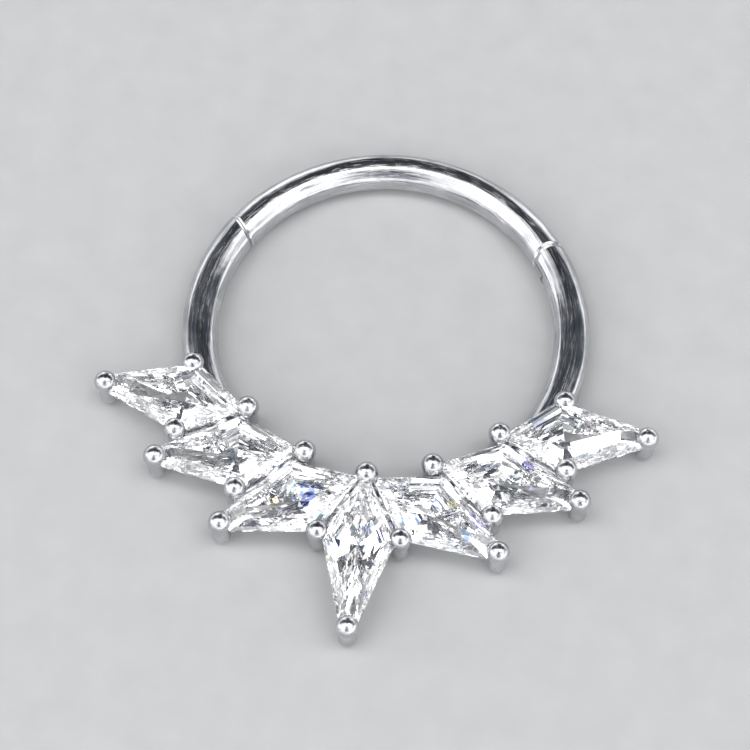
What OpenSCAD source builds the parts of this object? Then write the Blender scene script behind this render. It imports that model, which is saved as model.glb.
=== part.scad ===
// Clicker ring: a round wire ring with a hinged segment and a fan of seven kite stones.
// It lies flat on its back, stones up. The ring's top points to +Y and the fan to -Y.

/* [Ring] */
// Inside diameter of the ring
inner_d = 11.1; // [10.9:0.1:11.2]
// Thickness of the round wire
wire_d = 1.2; // [1.16:0.02:1.24]
// Angle from +X at which the hinged segment meets its hinge
hinge_seam_a = 35; // [33:1:37]
// Angle from +X at which the hinged segment closes
catch_seam_a = 149; // [147:1:151]
// Turn of the closing cut away from square across the wire
catch_turn = 19; // [0:1:21]

/* [Stones] */
// Width of a side stone across its two wide corners
side_w = 2.54; // [2.4:0.02:2.56]
// Length of a side stone from its inner tip to its wide corners
side_in = 1.89; // [1.85:0.01:1.9]
// Length of a side stone from its wide corners to its cut outer end
side_out = 2.56; // [2.5:0.02:2.56]
// Width of a side stone's cut outer end
side_end = 0.7; // [0.6:0.05:0.75]
// Width of the centre stone across its two wide corners
centre_w = 2.32; // [2.2:0.02:2.34]
// Length of the centre stone from its inner tip to its wide corners
centre_in = 2.28; // [2.2:0.02:2.3]
// Length of the centre stone from its wide corners to its cut outer end
centre_out = 2.7; // [2.6:0.05:2.8]
// Width of the centre stone's cut outer end
centre_end = 0.62; // [0.55:0.01:0.7]
// Height of the stones' girdles above the surface that the ring lies on
girdle_z = 1.18; // [1.16:0.01:1.22]
// Height of the crown above the middle of the girdle
crown_h = 0.3; // [0.25:0.01:0.34]
// Depth of the pavilion below the middle of the girdle
pavilion_h = 1.08; // [1:0.01:1.12]

/* [Setting] */
// Diameter of a prong's round bead
bead_d = 0.74; // [0.7:0.02:0.78]
// Diameter of a prong's stem
stem_d = 0.6; // [0.54:0.02:0.64]
// Height of the beads' centres above the surface that the ring lies on
bead_z = 1.25; // [1.22:0.01:1.3]
// Thickness of the round rails that join the prongs
rail_d = 0.4; // [0.34:0.02:0.44]
// Height of the rails' middles above the surface that the ring lies on
rail_z = 0.5; // [0.47:0.01:0.53]
// Thickness of the round braces from the outer prongs to the rails
brace_d = 0.3; // [0.28:0.01:0.32]
// Space left between a stone and its seat
seat_gap = 0.03; // [0.02:0.005:0.04]

/* [Hinge and catch] */
// Distance from the hinge pin to the end of the cheeks around it
knuckle_r = 0.8; // [0.76:0.02:0.84]
// Thickness of the segment's tongue in the hinge and in the catch
tongue_t = 0.38; // [0.34:0.02:0.4]
// Diameter of the hinge pin
pin_d = 0.44; // [0.4:0.02:0.46]
// Space beside the tongues and round the cheeks
swing_gap = 0.03; // [0.025:0.005:0.04]
// Space between the segment and the wire at the closing cut
seam_gap = 0.04; // [0.03:0.01:0.06]
// Reach of the catch tongue past the closing cut
catch_l = 0.4; // [0.3:0.05:0.5]

/* [Hidden] */
STONE_COUNT = 7;
$fn = 64;

wire_r = wire_d / 2;
ring_r = inner_d / 2 + wire_r;
over = 1;

// Sizes of a stone: width, inner length, outer length, width of the outer end
SIDE = [side_w, side_in, side_out, side_end];
CENTRE = [centre_w, centre_in, centre_out, centre_end];
// The centre stone and the three on its right, from the ring's centre: x and y of the
// inner tip, turn of the stone's axis from -Y toward +X, sizes
HALF_FAN = [
    [0, -5.36, 0, CENTRE],
    [0.2, -5.54, 63.5, SIDE],
    [2.16, -4.83, 80.4, SIDE],
    [4.11, -3.63, 95.2, SIDE],
];
// Prongs at the inner corners: distance from the ring's centre, turn from -Y toward +X
INNER_PRONGS = [[5.42, 0], [5.3, 22.7], [5.41, 48.6], [6.44, 69.8]];
// Prongs in the notches between the stones' outer parts, in the same way
NOTCH_PRONGS = [[7.65, 9.8], [7.59, 32.4], [7.77, 53.7]];
// How far a prong stands out past the cut end of its stone
end_prong_out = 0.21;
// How far a prong's stem reaches below the rails' middles
stem_foot = 0.26;
// How far a rail's ends stop short of the prongs' axes
rail_inset = 0.14;
// How far inside a notch prong a brace meets the rail, and how far below the rail's middle
brace_meet = 0.6;
brace_drop = 0.05;
// How far a brace stops short of its prong's axis and of the rail's middle
brace_prong_inset = 0.2;
brace_rail_inset = 0.05;

// A stone's facets from table to pavilion: scale of the outline, place in height as a
// part of crown_h above the girdle or of pavilion_h below it, push on the edge middles
girdle_half = 0.05;
FACET_LEVELS = [
    [0.72, 1, 1],
    [0.82, 0.78, 1],
    [0.92, 0.5, 1],
    [1, girdle_half / crown_h, 1],
    [1, -girdle_half / pavilion_h, 1],
    [0.84, -0.224, 1],
    [0.66, -0.411, 1],
    [0.46, -0.605, 1.02],
    [0.26, -0.787, 1.06],
];
// The same for the seat that is cut for it, with fewer faces
SEAT_LEVELS = [
    [0.72, 1, 1],
    [0.87, 0.67, 1],
    [1, girdle_half / crown_h, 1],
    [1, -girdle_half / pavilion_h, 1],
    [0.66, -0.415, 1],
    [0.26, -0.79, 1.06],
];
// Deepening of a seat under the culet, in seat gaps
culet_room = 1.5;

function half_middle() = (STONE_COUNT + 1) / 2;
function polar(p) = [p[0] * sin(p[1]), -p[0] * cos(p[1])];
function axis_of(turn) = [sin(turn), -cos(turn)];
function flip(p) = [-p.x, p.y];
function both_sides(points) = concat(points, [for (p = points) if (p.x > 0) flip(p)]);

// Length that a stone's long edges would need to meet in a point
function full_out(s) = s[2] * s[0] / (s[0] - s[3]);
function short_edge(s) = norm([s[1], s[0] / 2]);
function long_edge(s) = norm([full_out(s), s[0] / 2]);
// Radius of the circle that touches a stone's four long and short edges
function inside_r(s) = (s[1] + full_out(s)) * s[0] / 2 / (short_edge(s) + long_edge(s));
// Distance from the inner tip to the middle of that circle
function tip_to_culet(s) = inside_r(s) * short_edge(s) / (s[0] / 2);

function corners(s) = let (m = tip_to_culet(s)) [
    [-m, 0],
    [s[1] - m, -s[0] / 2],
    [s[1] + s[2] - m, -s[3] / 2],
    [s[1] + s[2] - m, s[3] / 2],
    [s[1] - m, s[0] / 2],
];
// Corners and edge middles in turn, scaled about the culet
function facet_ring(s, k, pull) = let (c = corners(s), n = len(c)) [
    for (i = [0:n - 1], half = [0, 1])
        k * (half == 0 ? c[i] : pull * (c[i] + c[(i + 1) % n]) / 2)
];
function level_z(part) = part > 0 ? part * crown_h : part * pavilion_h;

// Fan row and side of stone i, counted from the left
function fan_row(i) = HALF_FAN[abs(i - half_middle())];
function fan_side(i) = i < half_middle() ? -1 : 1;

tip_prong_points = [for (row = HALF_FAN)
    [row[0], row[1]] + axis_of(row[2]) * (row[3][1] + row[3][2] + end_prong_out)];
inner_points = [for (p = INNER_PRONGS) polar(p)];
notch_points = [for (p = NOTCH_PRONGS) polar(p)];

// The box of the whole part is centred on the origin
fan_reach = -tip_prong_points[0].y + bead_d / 2;
ring_y = (fan_reach - ring_r - wire_r) / 2;

// Arcs that the wire and the segment run on past their cuts, before these are made
shank_past_catch_a = 15;
shank_past_hinge_a = 8;
segment_past_catch_a = 12;

// The hinge pin stands at knuckle_r along the wire from the hinge seam
pin_a = hinge_seam_a - knuckle_r / ring_r * 180 / PI;
// The tongue's round end stays inside the wire's round, and its pocket breaks out of it
tongue_end_r = wire_r - 0.05;
pocket_r = wire_r + 0.04;
// Reach of the slot behind the pin, for the tongue's outer edge when the segment is open
swing_slot = wire_r + 0.02;
// Metal left over the blind pin hole, and room under the pin
pin_wall = 0.2;
pin_recess = 0.1;
// Room round the pin in the shank and in the segment's tongue
pin_fit = 0.02;
swivel_fit = 0.05;
// Metal left between the catch slot and the inside of the ring
catch_wall = 0.22;

// Arc of the ring's wire between two angles from +X
module wire_arc(from, to) {
    rotate_extrude(angle = to - from, start = from)
        translate([ring_r, wire_r])
            circle(d = wire_d);
}

// Puts its children on the wire at an angle from +X, with their +X along the wire
// toward growing angles and their +Y toward the ring's middle
module on_wire(a) {
    rotate(a) translate([ring_r, 0]) rotate(90) children();
}

// Flat slab in the middle of the wire's thickness, from outside the ring as far as y1
module slab(x0, x1, t, y1 = wire_d) {
    translate([x0, -wire_d, wire_r - t / 2]) cube([x1 - x0, wire_d + y1, t]);
}

module round_at_pin(r, z0, z1) {
    on_wire(pin_a) translate([0, 0, z0]) cylinder(r = r, h = z1 - z0);
}

// One cut stone with its culet on the Z axis and its girdle's middle at 0, grown by g
module stone_body(s, facets, g) {
    levels = [for (f = facets)
        [f[0] + g / inside_r(s), level_z(f[1]) + (f[1] > 0 ? g : -g), f[2]]];
    n = 2 * len(corners(s));
    points = concat(
        [for (l = levels, p = facet_ring(s, l[0], l[2])) [p.x, p.y, l[1]]],
        [[0, 0, -pavilion_h - culet_room * g]]
    );
    last = len(levels) - 1;
    faces = concat(
        [[for (i = [0:n - 1]) n - 1 - i]],
        [for (j = [0:last - 1], i = [0:n - 1]) let (k = (i + 1) % n)
            [j * n + i, j * n + k, (j + 1) * n + k]],
        [for (j = [0:last - 1], i = [0:n - 1]) let (k = (i + 1) % n)
            [j * n + i, (j + 1) * n + k, (j + 1) * n + i]],
        [for (i = [0:n - 1]) [last * n + i, last * n + (i + 1) % n, (last + 1) * n]]
    );
    polyhedron(points, faces);
}

module placed_stone(i, facets, g) {
    row = fan_row(i);
    side = fan_side(i);
    translate([side * row[0], row[1], girdle_z])
        rotate(side * row[2] - 90)
            translate([tip_to_culet(row[3]), 0])
                stone_body(row[3], facets, g);
}

module prong(p) {
    translate([p.x, p.y, rail_z - stem_foot])
        cylinder(d = stem_d, h = bead_z - rail_z + stem_foot);
    translate([p.x, p.y, bead_z]) sphere(d = bead_d);
}

// Round bar from p to q at a height, its ends short of them by the given insets
module bar(p, q, d, z, inset_p, inset_q) {
    way = q - p;
    start = p + way / norm(way) * inset_p;
    translate([start.x, start.y, z])
        rotate([0, 90, atan2(way.y, way.x)])
            cylinder(d = d, h = norm(way) - inset_p - inset_q);
}

module rail(p, q) {
    bar(p, q, rail_d, rail_z, rail_inset, rail_inset);
}

// From an outer prong to the rail between its stone and the next
module brace(tip, notch, inner) {
    meet = notch + (inner - notch) / norm(inner - notch) * brace_meet;
    bar(tip, meet, brace_d, rail_z - brace_drop, brace_prong_inset, brace_rail_inset);
}

module gallery() {
    side_end = len(inner_points) - 1;
    for (p = both_sides(concat(inner_points, notch_points, tip_prong_points))) prong(p);
    for (i = [0:len(notch_points) - 1]) {
        rail(notch_points[i], inner_points[i]);
        rail(flip(notch_points[i]), flip(inner_points[i]));
        brace(tip_prong_points[i], notch_points[i], inner_points[i]);
        brace(flip(tip_prong_points[i]), flip(notch_points[i]), flip(inner_points[i]));
    }
    rail(inner_points[side_end], tip_prong_points[side_end]);
    rail(flip(inner_points[side_end]), flip(tip_prong_points[side_end]));
}

// Block along the wire from a start beside the closing cut, which takes away one side of it
module past_catch(length, start) {
    on_wire(catch_seam_a) rotate(-catch_turn)
        translate([start, -wire_d, -over])
            cube([length, 2 * wire_d, wire_d + 2 * over]);
}

module shank_wire() {
    pocket_t = tongue_t + 2 * swing_gap;
    difference() {
        wire_arc(catch_seam_a - shank_past_catch_a, 360 + hinge_seam_a + shank_past_hinge_a);
        past_catch(2 * wire_d, -2 * wire_d);
        on_wire(catch_seam_a) rotate(-catch_turn)
            slab(-wire_d, catch_l + swing_gap, pocket_t, wire_r - catch_wall);
        difference() {
            on_wire(pin_a) translate([0, -wire_d, -over])
                cube([2 * wire_d, 2 * wire_d, wire_d + 2 * over]);
            round_at_pin(knuckle_r, -2 * over, wire_d + 2 * over);
        }
        on_wire(pin_a) slab(0, wire_d, pocket_t);
        on_wire(pin_a) slab(-swing_slot, over, pocket_t, 0);
        round_at_pin(pocket_r, wire_r - pocket_t / 2, wire_r + pocket_t / 2);
        round_at_pin(pin_d / 2 + pin_fit, -over, wire_d - pin_wall);
    }
}

module shank() {
    color("silver")
    translate([0, ring_y, 0])
    difference() {
        union() {
            shank_wire();
            gallery();
        }
        for (i = [1:STONE_COUNT]) placed_stone(i, SEAT_LEVELS, seat_gap);
    }
}

module hinged_segment() {
    tongue_z0 = wire_r - tongue_t / 2;
    tongue_z1 = wire_r + tongue_t / 2;
    color("silver")
    translate([0, ring_y, 0])
    difference() {
        union() {
            difference() {
                wire_arc(pin_a, catch_seam_a + segment_past_catch_a);
                round_at_pin(knuckle_r + swing_gap, tongue_z1, wire_d + over);
                round_at_pin(knuckle_r + swing_gap, -over, tongue_z0);
            }
            round_at_pin(tongue_end_r, tongue_z0, tongue_z1);
        }
        round_at_pin(pin_d / 2 + swivel_fit, -over, wire_d + over);
        difference() {
            past_catch(3 * wire_d, -seam_gap);
            on_wire(catch_seam_a) rotate(-catch_turn)
                slab(-wire_r, catch_l, tongue_t, wire_r - catch_wall - swing_gap);
        }
    }
}

module hinge_pin() {
    color("gainsboro")
    translate([0, ring_y, 0])
        round_at_pin(pin_d / 2, pin_recess, wire_d - pin_wall - pin_fit);
}

module kite_stone(i) {
    color("lightcyan")
    translate([0, ring_y, 0])
        placed_stone(i, FACET_LEVELS, 0);
}

shank();
hinged_segment();
hinge_pin();
for (i = [1:STONE_COUNT])
    kite_stone(i);
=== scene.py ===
import math
import bpy
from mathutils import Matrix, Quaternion, Vector


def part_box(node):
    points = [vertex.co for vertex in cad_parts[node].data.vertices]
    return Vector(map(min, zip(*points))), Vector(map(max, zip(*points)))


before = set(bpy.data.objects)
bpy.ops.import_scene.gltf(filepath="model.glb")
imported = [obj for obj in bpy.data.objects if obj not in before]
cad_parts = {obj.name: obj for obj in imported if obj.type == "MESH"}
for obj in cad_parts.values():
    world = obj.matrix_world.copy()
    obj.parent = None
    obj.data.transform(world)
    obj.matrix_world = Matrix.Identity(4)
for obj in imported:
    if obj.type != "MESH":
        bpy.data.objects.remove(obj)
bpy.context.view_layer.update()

mm = 0.001
clickerRing = {
    "wireThickness": 1.2 * mm,
    "insideWidth": 11.1 * mm,
}
wireRadius = clickerRing["wireThickness"] / 2
ringRadius = clickerRing["insideWidth"] / 2 + wireRadius  # out to the middle of the wire
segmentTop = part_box("hinged_segment")[1].y
ringMiddle = Vector((0, segmentTop - ringRadius - wireRadius, wireRadius))
scene = bpy.context.scene


# camera, standing where the photograph was taken from
cameraView = {
    "azimuth": 6.6,  # degrees to the right of the fan's middle
    "elevation": 64.0,  # degrees above the floor
    "distance": 65.36 * mm,
    "lens": 95.9,
    "aimFromRingMiddle": (-0.171 * mm, -1.65 * mm, 0),
    "nearest": 1 * mm,
    "farthest": 5.0,
}


def addCamera():
    spec = cameraView
    side = math.radians(spec["azimuth"])
    up = math.radians(spec["elevation"])
    flat = math.cos(up)
    back = Vector((math.sin(side) * flat, -math.cos(side) * flat, math.sin(up)))
    data = bpy.data.cameras.new("photoCamera")
    data.lens = spec["lens"]
    data.clip_start = spec["nearest"]
    data.clip_end = spec["farthest"]
    camera = bpy.data.objects.new("photoCamera", data)
    aim = ringMiddle + Vector(spec["aimFromRingMiddle"])
    camera.location = aim + back * spec["distance"]
    camera.rotation_mode = "QUATERNION"
    camera.rotation_quaternion = (-back).to_track_quat("-Z", "Y")
    scene.collection.objects.link(camera)
    scene.camera = camera


addCamera()
print("camera placed")


# node helpers
def newMaterial(name):
    material = bpy.data.materials.new(name)
    material.use_nodes = True
    tree = material.node_tree
    return material, tree, tree.nodes["Principled BSDF"]


def addNode(tree, kind, settings=None, inputs=None):
    node = tree.nodes.new(kind)
    for key, value in (settings or {}).items():
        setattr(node, key, value)
    for key, value in (inputs or {}).items():
        if isinstance(value, bpy.types.NodeSocket):
            tree.links.new(value, node.inputs[key])
        else:
            node.inputs[key].default_value = value
    return node


def objectPlace(tree):
    return addNode(tree, "ShaderNodeTexCoord").outputs["Object"]


def doMath(tree, operation, a, b=0.0):
    return addNode(tree, "ShaderNodeMath", {"operation": operation}, {0: a, 1: b}).outputs[0]


def doVector(tree, operation, a, b):
    node = addNode(tree, "ShaderNodeVectorMath", {"operation": operation}, {0: a, 1: b})
    return node.outputs["Vector"]


def measure(tree, operation, a, b=(0, 0, 0)):
    node = addNode(tree, "ShaderNodeVectorMath", {"operation": operation}, {0: a, 1: b})
    return node.outputs["Value"]


def noiseOf(tree, place, scale, detail, roughness=0.5):
    return addNode(tree, "ShaderNodeTexNoise", None, {
        "Vector": place, "Scale": scale, "Detail": detail, "Roughness": roughness,
    }).outputs["Fac"]


def rampOf(tree, value, limits, low, high):
    node = addNode(tree, "ShaderNodeValToRGB", None, {0: value})
    for element, place, colour in zip(node.color_ramp.elements, limits, (low, high)):
        element.position = place
        element.color = (*colour, 1)
    return node.outputs[0]


def remap(tree, value, low, high, toLow=0.0, toHigh=1.0):
    return addNode(tree, "ShaderNodeMapRange", None, {
        "Value": value, "From Min": low, "From Max": high, "To Min": toLow, "To Max": toHigh,
    }).outputs[0]


def mixColour(tree, share, first, second):
    node = addNode(tree, "ShaderNodeMix", {"data_type": "RGBA"}, {0: share, 6: first, 7: second})
    return node.outputs[2]


def bumpOf(tree, height, depth, before=None):
    inputs = {"Height": height, "Distance": depth}
    if before is not None:
        inputs["Normal"] = before
    return addNode(tree, "ShaderNodeBump", None, inputs).outputs[0]


# bevelled edges of the closing cut and of the hinge's round, drawn in bump, with a painted
# highlight: a lighter steel colour along them
seamBevelsAndPaintedHighlight = {
    "closingAngle": 149.0,  # degrees round the ring from its right
    "closingTurn": 19.0,  # degrees that the cut leans
    "closingGap": 0.04 * mm,
    "closingWidth": 0.07 * mm,
    "hingeAngle": 35.0,
    "hingeReach": 0.8 * mm,  # from the pin to the hinge's round
    "hingeGap": 0.03 * mm,
    "hingeWidth": 0.09 * mm,
    "depth": 0.045 * mm,
    # painted highlight: a lighter steel colour laid along the seam bevels
    "tint": (0.86, 0.865, 0.87),
}


def onRing(angle):
    return Vector((math.cos(angle), math.sin(angle), 0))


def awayFromClosing(tree, fromMiddle):
    spec = seamBevelsAndPaintedHighlight
    angle = math.radians(spec["closingAngle"])
    across = onRing(angle + math.radians(90 - spec["closingTurn"]))
    start = onRing(angle) * ringRadius - across * spec["closingGap"] / 2
    offset = doVector(tree, "SUBTRACT", fromMiddle, tuple(start))
    along = measure(tree, "DOT_PRODUCT", offset, tuple(across))
    away = doMath(tree, "SUBTRACT", doMath(tree, "ABSOLUTE", along), spec["closingGap"] / 2)
    reach = measure(tree, "LENGTH", offset)
    beyondWire = doMath(tree, "SUBTRACT", reach, 2 * wireRadius)  # keeps the plane off the fan
    away = doMath(tree, "MAXIMUM", away, beyondWire)
    return remap(tree, away, 0.0, spec["closingWidth"])


def awayFromHinge(tree, fromMiddle):
    spec = seamBevelsAndPaintedHighlight
    angle = math.radians(spec["hingeAngle"]) - spec["hingeReach"] / ringRadius
    across = onRing(angle + math.radians(90))
    offset = doVector(tree, "SUBTRACT", fromMiddle, tuple(onRing(angle) * ringRadius))
    offset = doVector(tree, "MULTIPLY", offset, (1, 1, 0))
    reach = measure(tree, "LENGTH", offset)
    away = doMath(tree, "SUBTRACT", reach, spec["hingeReach"] + spec["hingeGap"] / 2)
    away = doMath(tree, "SUBTRACT", doMath(tree, "ABSOLUTE", away), spec["hingeGap"] / 2)
    along = measure(tree, "DOT_PRODUCT", offset, tuple(across))
    behind = doMath(tree, "LESS_THAN", along, 0.0)  # only the far half of the round is cut
    return remap(tree, doMath(tree, "ADD", away, behind), 0.0, spec["hingeWidth"])


# polished steel of the wire, the beads and the rails
polishedSteel = {
    "darkTint": (0.44, 0.45, 0.475),
    "lightTint": (0.66, 0.665, 0.68),
    "tintLimits": (0.38, 0.60),
    "roughnessLow": 0.06,
    "roughnessHigh": 0.24,
    "roughnessLimits": (0.35, 0.65),
    "streakShare": 0.55,  # of the tint and roughness, the waves give the rest
    "streakLength": 1.0 * mm,
    "streakWidth": 0.045 * mm,
    "streakDepth": 0.0012 * mm,
    "streakDetail": 3.0,
    "waveSize": 0.9 * mm,
    "waveDepth": 0.012 * mm,
    "waveDetail": 2.0,
    "scratchLength": 0.8 * mm,
    "scratchWidth": 0.03 * mm,
    "scratchDepth": 0.0018 * mm,
    "scratchDetail": 1.0,
    "scratchLimits": (0.58, 0.68),
    "scratchRoughness": 0.10,
    "brushGrain": 0.6,
}


def brushedNoise(tree, fromMiddle, length, width, detail):
    parts = addNode(tree, "ShaderNodeSeparateXYZ", None, {0: fromMiddle}).outputs
    turn = doMath(tree, "ARCTAN2", parts["Y"], parts["X"])
    flat = doVector(tree, "MULTIPLY", fromMiddle, (1, 1, 0))
    laid = addNode(tree, "ShaderNodeCombineXYZ", None, {
        "X": doMath(tree, "MULTIPLY", turn, ringRadius / length),
        "Y": doMath(tree, "DIVIDE", measure(tree, "LENGTH", flat), width),
        "Z": doMath(tree, "DIVIDE", parts["Z"], width),
    }).outputs[0]
    return noiseOf(tree, laid, 1.0, detail, polishedSteel["brushGrain"])


def makeSteel():
    spec = polishedSteel
    material, tree, shader = newMaterial("polishedSteel")
    coords = objectPlace(tree)
    fromMiddle = doVector(tree, "SUBTRACT", coords, tuple(ringMiddle))
    streaks = brushedNoise(
        tree, fromMiddle, spec["streakLength"], spec["streakWidth"], spec["streakDetail"])
    scratches = brushedNoise(
        tree, fromMiddle, spec["scratchLength"], spec["scratchWidth"], spec["scratchDetail"])
    scratches = remap(tree, scratches, *spec["scratchLimits"])
    waves = noiseOf(tree, coords, 1 / spec["waveSize"], spec["waveDetail"])
    mixed = doMath(
        tree, "ADD",
        doMath(tree, "MULTIPLY", streaks, spec["streakShare"]),
        doMath(tree, "MULTIPLY", waves, 1 - spec["streakShare"]))
    closing = awayFromClosing(tree, fromMiddle)
    plain = doMath(tree, "MINIMUM", closing, awayFromHinge(tree, fromMiddle))

    tint = rampOf(tree, mixed, spec["tintLimits"], spec["darkTint"], spec["lightTint"])
    # painted highlight: the seam bevels get the lighter steel colour
    tint = mixColour(tree, plain, (*seamBevelsAndPaintedHighlight["tint"], 1), tint)
    tree.links.new(tint, shader.inputs["Base Color"])
    rough = remap(
        tree, mixed, *spec["roughnessLimits"], spec["roughnessLow"], spec["roughnessHigh"])
    worn = doMath(tree, "MULTIPLY", scratches, spec["scratchRoughness"])
    tree.links.new(doMath(tree, "ADD", rough, worn), shader.inputs["Roughness"])
    shader.inputs["Metallic"].default_value = 1.0
    normal = bumpOf(tree, waves, spec["waveDepth"])
    normal = bumpOf(tree, plain, seamBevelsAndPaintedHighlight["depth"], normal)
    normal = bumpOf(tree, streaks, spec["streakDepth"], normal)
    normal = bumpOf(tree, scratches, -spec["scratchDepth"], normal)
    tree.links.new(normal, shader.inputs["Normal"])
    return material


# plain turned steel of the hinge pin
turnedSteel = {
    "darkTint": (0.50, 0.51, 0.53),
    "lightTint": (0.60, 0.61, 0.63),
    "tintLimits": (0.35, 0.65),
    "roughnessLow": 0.20,
    "roughnessHigh": 0.32,
    "roughnessLimits": (0.3, 0.7),
    "grooveStep": 0.04 * mm,
    "grooveDepth": 0.001 * mm,
    "grooveDetail": 2.0,
}


def makePinSteel():
    spec = turnedSteel
    material, tree, shader = newMaterial("turnedSteel")
    along = addNode(tree, "ShaderNodeSeparateXYZ", None, {0: objectPlace(tree)}).outputs["Z"]
    steps = doMath(tree, "DIVIDE", along, spec["grooveStep"])
    laid = addNode(tree, "ShaderNodeCombineXYZ", None, {"Z": steps}).outputs[0]
    grooves = noiseOf(tree, laid, 1.0, spec["grooveDetail"])
    tint = rampOf(tree, grooves, spec["tintLimits"], spec["darkTint"], spec["lightTint"])
    tree.links.new(tint, shader.inputs["Base Color"])
    rough = remap(
        tree, grooves, *spec["roughnessLimits"], spec["roughnessLow"], spec["roughnessHigh"])
    tree.links.new(rough, shader.inputs["Roughness"])
    shader.inputs["Metallic"].default_value = 1.0
    tree.links.new(bumpOf(tree, grooves, spec["grooveDepth"]), shader.inputs["Normal"])
    return material


# clear cut stones
clearStone = {
    "ior": 2.15,
    "coolTint": (0.985, 0.99, 1.0),
    "clearTint": (1.0, 1.0, 1.0),
    "polishScale": 2600.0,
    "polishDetail": 2.0,
    "polishLimits": (0.3, 0.7),
    "roughest": 0.012,
    "shardSize": 0.24 * mm,
    "shardEdge": 0.40 * mm,  # how far the shards break a painted glint's edge
    "paintedFireGlints": [  # painted coloured glints standing in for the stones' fire: x and y from the ring's middle and reach, all in mm, and colour
        (-1.80, -6.30, 0.32, (0.16, 0.24, 0.68)),
        (-1.75, -6.66, 0.16, (0.06, 0.09, 0.40)),
        (-1.34, -7.03, 0.14, (0.40, 0.86, 0.95)),
        (-2.80, -6.76, 0.10, (1.0, 0.78, 0.40)),
        (-0.75, -7.97, 0.16, (0.25, 0.36, 0.85)),
        (1.45, -6.96, 0.24, (0.12, 0.24, 0.85)),
        (3.53, -6.77, 0.14, (0.30, 0.25, 0.95)),
        (3.45, -7.25, 0.16, (0.45, 0.62, 0.98)),
        (2.93, -6.13, 0.14, (0.98, 0.95, 0.50)),
        (5.01, -4.62, 0.13, (0.30, 0.25, 0.95)),
        (4.77, -5.13, 0.14, (0.45, 0.78, 0.88)),
        (5.30, -3.04, 0.22, (0.50, 0.60, 0.95)),
        (6.62, -2.78, 0.12, (0.50, 0.86, 0.90)),
        (-4.30, -5.30, 0.14, (0.50, 0.64, 0.82)),
    ],
}


def makeStone():
    spec = clearStone
    material, tree, shader = newMaterial("clearStone")
    coords = objectPlace(tree)
    fromMiddle = doVector(tree, "SUBTRACT", coords, tuple(ringMiddle))
    flat = doVector(tree, "MULTIPLY", fromMiddle, (1, 1, 0))
    cells = addNode(tree, "ShaderNodeTexVoronoi", None, {
        "Vector": coords, "Scale": 1 / spec["shardSize"], "Randomness": 1.0,
    }).outputs["Color"]
    shards = addNode(tree, "ShaderNodeSeparateColor", None, {0: cells}).outputs[0]
    halfEdge = spec["shardEdge"] / 2
    broken = remap(tree, shards, 0.0, 1.0, -halfEdge, halfEdge)
    tint = rampOf(tree, shards, (0.0, 1.0), spec["coolTint"], spec["clearTint"])
    # painted coloured glints, standing in for the stones' fire, mixed into the stone's colour
    for x, y, reach, colour in spec["paintedFireGlints"]:
        away = measure(tree, "DISTANCE", flat, (x * mm, y * mm, 0))
        edge = doMath(tree, "ADD", away, broken)
        inside = doMath(tree, "LESS_THAN", edge, reach * mm)
        tint = mixColour(tree, inside, tint, (*colour, 1))
    tree.links.new(tint, shader.inputs["Base Color"])
    polish = noiseOf(tree, coords, spec["polishScale"], spec["polishDetail"])
    rough = remap(tree, polish, *spec["polishLimits"], 0.0, spec["roughest"])
    tree.links.new(rough, shader.inputs["Roughness"])
    shader.inputs["IOR"].default_value = spec["ior"]
    shader.inputs["Transmission Weight"].default_value = 1.0
    return material


def dress(node, material):
    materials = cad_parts[node].data.materials
    materials.clear()
    materials.append(material)


steel = makeSteel()
pinSteel = makePinSteel()
stoneGlass = makeStone()
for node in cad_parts:
    if node.startswith("kite_stone"):
        dress(node, stoneGlass)
    else:
        dress(node, pinSteel if node == "hinge_pin" else steel)
print("materials made")


# pale floor and soft studio light
studio = {
    "floorWidth": 3.0,
    "floorDark": (0.44, 0.445, 0.45),
    "floorLight": (0.475, 0.475, 0.48),
    "floorLimits": (0.3, 0.7),
    "floorRoughness": (0.55, 0.70),
    "floorScale": 900.0,
    "floorDetail": 4.0,
    "bounces": 28,  # light turns back many times inside a cut stone
    "domeDark": (0.95, 0.96, 0.98),
    "domeLight": (2.1, 2.1, 2.1),
    "domeLimits": (0.40, 0.56),
    "domeScale": 3.0,
    "domeDetail": 2.0,
    "patches": [  # direction, spread and soft edge in degrees, and colour
        ((0.0, 0.78, 1.0), 24, 6, (0.06, 0.062, 0.068)),
        ((0.0, 1.0, 0.42), 12, 5, (0.06, 0.062, 0.068)),
        ((-0.62, 0.60, 0.70), 17, 5, (0.08, 0.09, 0.11)),
        ((0.62, 0.60, 0.70), 17, 5, (0.08, 0.09, 0.11)),
        ((-0.86, 0.42, 0.42), 13, 5, (0.12, 0.13, 0.15)),
        ((0.86, 0.42, 0.42), 13, 5, (0.12, 0.13, 0.15)),
        ((0.05, -0.436, 0.90), 9, 4, (0.15, 0.15, 0.16)),
        ((0.05, -0.80, 0.60), 13, 8, (0.28, 0.30, 0.34)),
        ((0.0, 0.0, 1.0), 9, 5, (0.12, 0.12, 0.13)),
    ],
    "lamps": {  # place, width, depth, radiance, and turn in degrees
        "overheadLeft": ((-0.125, 0.0, 0.40), 0.10, 0.24, 3.8, 0),
        "overheadRight": ((0.125, 0.0, 0.40), 0.10, 0.24, 3.8, 0),
        "leftPanel": ((-0.30, -0.16, 0.20), 0.10, 0.16, 3.4, 0),
        "rightPanel": ((0.28, -0.20, 0.22), 0.08, 0.14, 3.4, 0),
        "glintLamp": ((0.0459, 0.2263, 0.50), 0.0235, 0.0075, 8.0, 31),
    },
}


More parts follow.
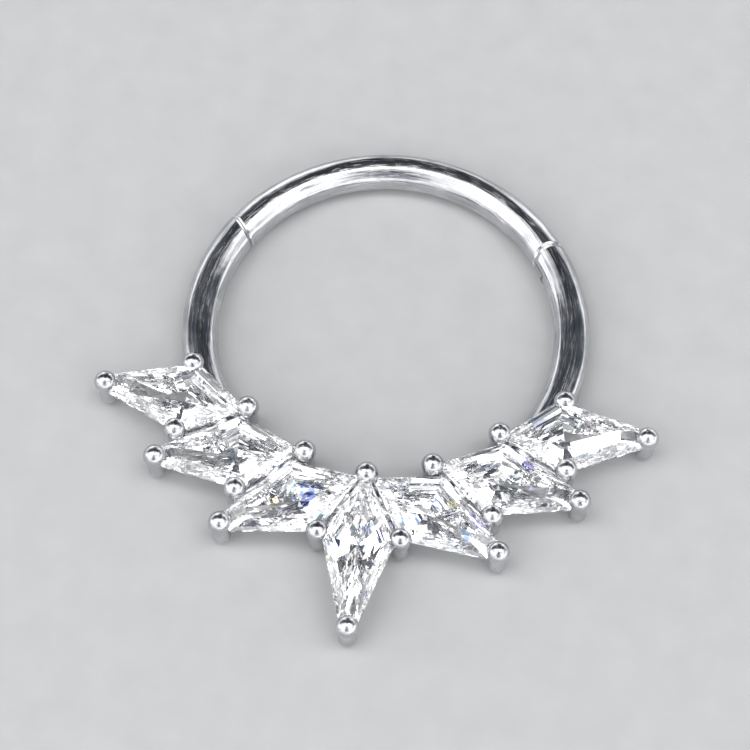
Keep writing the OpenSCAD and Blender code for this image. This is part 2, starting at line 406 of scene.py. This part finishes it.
def addFloor():
    spec = studio
    half = spec["floorWidth"] / 2
    corners = [(-half, -half, 0), (half, -half, 0), (half, half, 0), (-half, half, 0)]
    mesh = bpy.data.meshes.new("paleFloor")
    mesh.from_pydata(corners, [], [(0, 1, 2, 3)])
    floor = bpy.data.objects.new("paleFloor", mesh)
    scene.collection.objects.link(floor)
    material, tree, shader = newMaterial("paleFloor")
    grain = noiseOf(tree, objectPlace(tree), spec["floorScale"], spec["floorDetail"])
    tone = rampOf(tree, grain, spec["floorLimits"], spec["floorDark"], spec["floorLight"])
    tree.links.new(tone, shader.inputs["Base Color"])
    rough = remap(tree, grain, *spec["floorLimits"], *spec["floorRoughness"])
    tree.links.new(rough, shader.inputs["Roughness"])
    mesh.materials.append(material)


def addWorld():
    spec = studio
    world = bpy.data.worlds.new("studioWorld")
    scene.world = world
    world.use_nodes = True
    tree = world.node_tree
    way = addNode(tree, "ShaderNodeTexCoord").outputs["Generated"]
    spots = noiseOf(tree, way, spec["domeScale"], spec["domeDetail"])
    room = rampOf(tree, spots, spec["domeLimits"], spec["domeDark"], spec["domeLight"])
    for toward, spread, edge, colour in spec["patches"]:
        near = measure(tree, "DOT_PRODUCT", way, tuple(Vector(toward).normalized()))
        outer = math.cos(math.radians(spread + edge))
        inner = math.cos(math.radians(spread))
        room = mixColour(tree, remap(tree, near, outer, inner), room, (*colour, 1))
    tree.links.new(room, tree.nodes["Background"].inputs["Color"])


def addLamps():
    for name, (place, width, depth, radiance, turn) in studio["lamps"].items():
        data = bpy.data.lights.new(name, "AREA")
        data.shape = "RECTANGLE"
        data.size = width
        data.size_y = depth
        data.energy = radiance * math.pi * width * depth
        lamp = bpy.data.objects.new(name, data)
        lamp.location = place
        lamp.rotation_mode = "QUATERNION"
        aimed = (-Vector(place)).to_track_quat("-Z", "Y")  # at the ring
        lamp.rotation_quaternion = aimed @ Quaternion((0, 0, 1), math.radians(turn))
        scene.collection.objects.link(lamp)


addFloor()
addWorld()
addLamps()
scene.view_settings.view_transform = "Standard"
scene.cycles.max_bounces = studio["bounces"]
scene.cycles.glossy_bounces = studio["bounces"]
scene.cycles.transmission_bounces = studio["bounces"]
print("studio set")
